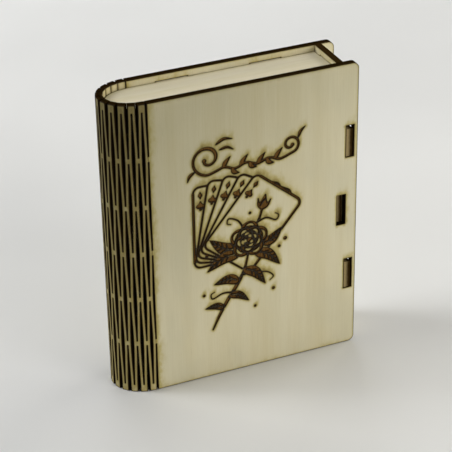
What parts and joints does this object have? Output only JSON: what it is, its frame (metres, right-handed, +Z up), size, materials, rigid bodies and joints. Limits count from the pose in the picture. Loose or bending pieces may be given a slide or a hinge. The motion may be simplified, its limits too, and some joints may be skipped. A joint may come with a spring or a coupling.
{
  "type": "card deck box",
  "caption": "Book-shaped laser-cut plywood box for playing cards, with a living-hinge spine, a fore-edge wall and a closure strip.",
  "frame": {"origin": "bottom centre of the closed box's bounding box", "axes": "+X to the fore-edge, -X to the rounded hinge, -Y out of the decorated front cover, +Y out of the back cover, +Z up"},
  "size_m": [0.1098, 0.0264, 0.136],
  "materials": {
    "cover_ply": "bare sanded poplar plywood with charred laser-cut edges and a burnt-in decoration",
    "board_ply": "bare sanded poplar plywood with charred laser-cut edges",
    "hinge_ply": "bare plywood strips, smoke-stained between charred slits"
  },
  "bodies": {
    "tray": {"back_cover": "cover_ply", "top_board": "board_ply", "bottom_board": "board_ply", "deck_divider": "board_ply", "fore_edge_wall": "board_ply"},
    "cover": {"front_cover": "cover_ply", "closure_strip": "board_ply"},
    "link_01": {"spine_link_01": "hinge_ply"},
    "link_02": {"spine_link_02": "hinge_ply"},
    "link_03": {"spine_link_03": "hinge_ply"},
    "link_04": {"spine_link_04": "hinge_ply"},
    "link_05": {"spine_link_05": "hinge_ply"},
    "link_06": {"spine_link_06": "hinge_ply"},
    "link_07": {"spine_link_07": "hinge_ply"},
    "link_08": {"spine_link_08": "hinge_ply"},
    "link_09": {"spine_link_09": "hinge_ply"},
    "link_10": {"spine_link_10": "hinge_ply"},
    "link_11": {"spine_link_11": "hinge_ply"},
    "link_12": {"spine_link_12": "hinge_ply"},
    "link_13": {"spine_link_13": "hinge_ply"},
    "link_14": {"spine_link_14": "hinge_ply"},
    "link_15": {"spine_link_15": "hinge_ply"},
    "link_16": {"spine_link_16": "hinge_ply"},
    "link_17": {"spine_link_17": "hinge_ply"},
    "link_18": {"spine_link_18": "hinge_ply"},
    "link_19": {"spine_link_19": "hinge_ply"},
    "link_20": {"spine_link_20": "hinge_ply"},
    "link_21": {"spine_link_21": "hinge_ply"}
  },
  "joints": [
    {"name": "cover_open", "type": "hinge", "parent": "tray", "child": "cover", "pos_m": [-0.05962, 0, 0.068], "axis": [0, 0, -1], "range_deg": [0, 180]},
    {"name": "link_01_unroll", "type": "hinge", "parent": "tray", "child": "link_01", "pos_m": [-0.05905, 0.00097, 0.068], "axis": [0, 0, -1], "range_deg": [0, 174.41]},
    {"name": "link_02_unroll", "type": "hinge", "parent": "tray", "child": "link_02", "pos_m": [-0.05846, 0.00188, 0.068], "axis": [0, 0, -1], "range_deg": [0, 168.61]},
    {"name": "link_03_unroll", "type": "hinge", "parent": "tray", "child": "link_03", "pos_m": [-0.05783, 0.00276, 0.068], "axis": [0, 0, -1], "range_deg": [0, 162.41]},
    {"name": "link_04_unroll", "type": "hinge", "parent": "tray", "child": "link_04", "pos_m": [-0.05715, 0.00363, 0.068], "axis": [0, 0, -1], "range_deg": [0, 155.64]},
    {"name": "link_05_unroll", "type": "hinge", "parent": "tray", "child": "link_05", "pos_m": [-0.05641, 0.00449, 0.068], "axis": [0, 0, -1], "range_deg": [0, 148.2]},
    {"name": "link_06_unroll", "type": "hinge", "parent": "tray", "child": "link_06", "pos_m": [-0.0556, 0.00533, 0.068], "axis": [0, 0, -1], "range_deg": [0, 140.02]},
    {"name": "link_07_unroll", "type": "hinge", "parent": "tray", "child": "link_07", "pos_m": [-0.05472, 0.00615, 0.068], "axis": [0, 0, -1], "range_deg": [0, 131.1]},
    {"name": "link_08_unroll", "type": "hinge", "parent": "tray", "child": "link_08", "pos_m": [-0.05378, 0.00694, 0.068], "axis": [0, 0, -1], "range_deg": [0, 121.5]},
    {"name": "link_09_unroll", "type": "hinge", "parent": "tray", "child": "link_09", "pos_m": [-0.05278, 0.00767, 0.068], "axis": [0, 0, -1], "range_deg": [0, 111.34]},
    {"name": "link_10_unroll", "type": "hinge", "parent": "tray", "child": "link_10", "pos_m": [-0.05173, 0.00836, 0.068], "axis": [0, 0, -1], "range_deg": [0, 100.77]},
    {"name": "link_11_unroll", "type": "hinge", "parent": "tray", "child": "link_11", "pos_m": [-0.05064, 0.00898, 0.068], "axis": [0, 0, -1], "range_deg": [0, 90]},
    {"name": "link_12_unroll", "type": "hinge", "parent": "tray", "child": "link_12", "pos_m": [-0.04952, 0.00953, 0.068], "axis": [0, 0, -1], "range_deg": [0, 79.23]},
    {"name": "link_13_unroll", "type": "hinge", "parent": "tray", "child": "link_13", "pos_m": [-0.04838, 0.01001, 0.068], "axis": [0, 0, -1], "range_deg": [0, 68.66]},
    {"name": "link_14_unroll", "type": "hinge", "parent": "tray", "child": "link_14", "pos_m": [-0.04724, 0.01043, 0.068], "axis": [0, 0, -1], "range_deg": [0, 58.5]},
    {"name": "link_15_unroll", "type": "hinge", "parent": "tray", "child": "link_15", "pos_m": [-0.04609, 0.01077, 0.068], "axis": [0, 0, -1], "range_deg": [0, 48.9]},
    {"name": "link_16_unroll", "type": "hinge", "parent": "tray", "child": "link_16", "pos_m": [-0.04496, 0.01106, 0.068], "axis": [0, 0, -1], "range_deg": [0, 39.98]},
    {"name": "link_17_unroll", "type": "hinge", "parent": "tray", "child": "link_17", "pos_m": [-0.04386, 0.01128, 0.068], "axis": [0, 0, -1], "range_deg": [0, 31.8]},
    {"name": "link_18_unroll", "type": "hinge", "parent": "tray", "child": "link_18", "pos_m": [-0.04279, 0.01145, 0.068], "axis": [0, 0, -1], "range_deg": [0, 24.36]},
    {"name": "link_19_unroll", "type": "hinge", "parent": "tray", "child": "link_19", "pos_m": [-0.04176, 0.01157, 0.068], "axis": [0, 0, -1], "range_deg": [0, 17.59]},
    {"name": "link_20_unroll", "type": "hinge", "parent": "tray", "child": "link_20", "pos_m": [-0.04076, 0.01165, 0.068], "axis": [0, 0, -1], "range_deg": [0, 11.39]},
    {"name": "link_21_unroll", "type": "hinge", "parent": "tray", "child": "link_21", "pos_m": [-0.0398, 0.0117, 0.068], "axis": [0, 0, -1], "range_deg": [0, 5.59]}
  ],
  "couplings": [
    {"joint": "link_01_unroll", "follows": "cover_open", "ratio": 0.96895},
    {"joint": "link_02_unroll", "follows": "cover_open", "ratio": 0.93672},
    {"joint": "link_03_unroll", "follows": "cover_open", "ratio": 0.90226},
    {"joint": "link_04_unroll", "follows": "cover_open", "ratio": 0.86467},
    {"joint": "link_05_unroll", "follows": "cover_open", "ratio": 0.82332},
    {"joint": "link_06_unroll", "follows": "cover_open", "ratio": 0.77786},
    {"joint": "link_07_unroll", "follows": "cover_open", "ratio": 0.72831},
    {"joint": "link_08_unroll", "follows": "cover_open", "ratio": 0.67499},
    {"joint": "link_09_unroll", "follows": "cover_open", "ratio": 0.61854},
    {"joint": "link_10_unroll", "follows": "cover_open", "ratio": 0.55985},
    {"joint": "link_11_unroll", "follows": "cover_open", "ratio": 0.5},
    {"joint": "link_12_unroll", "follows": "cover_open", "ratio": 0.44015},
    {"joint": "link_13_unroll", "follows": "cover_open", "ratio": 0.38146},
    {"joint": "link_14_unroll", "follows": "cover_open", "ratio": 0.32501},
    {"joint": "link_15_unroll", "follows": "cover_open", "ratio": 0.27169},
    {"joint": "link_16_unroll", "follows": "cover_open", "ratio": 0.22214},
    {"joint": "link_17_unroll", "follows": "cover_open", "ratio": 0.17668},
    {"joint": "link_18_unroll", "follows": "cover_open", "ratio": 0.13533},
    {"joint": "link_19_unroll", "follows": "cover_open", "ratio": 0.09774},
    {"joint": "link_20_unroll", "follows": "cover_open", "ratio": 0.06328},
    {"joint": "link_21_unroll", "follows": "cover_open", "ratio": 0.03105}
  ]
}
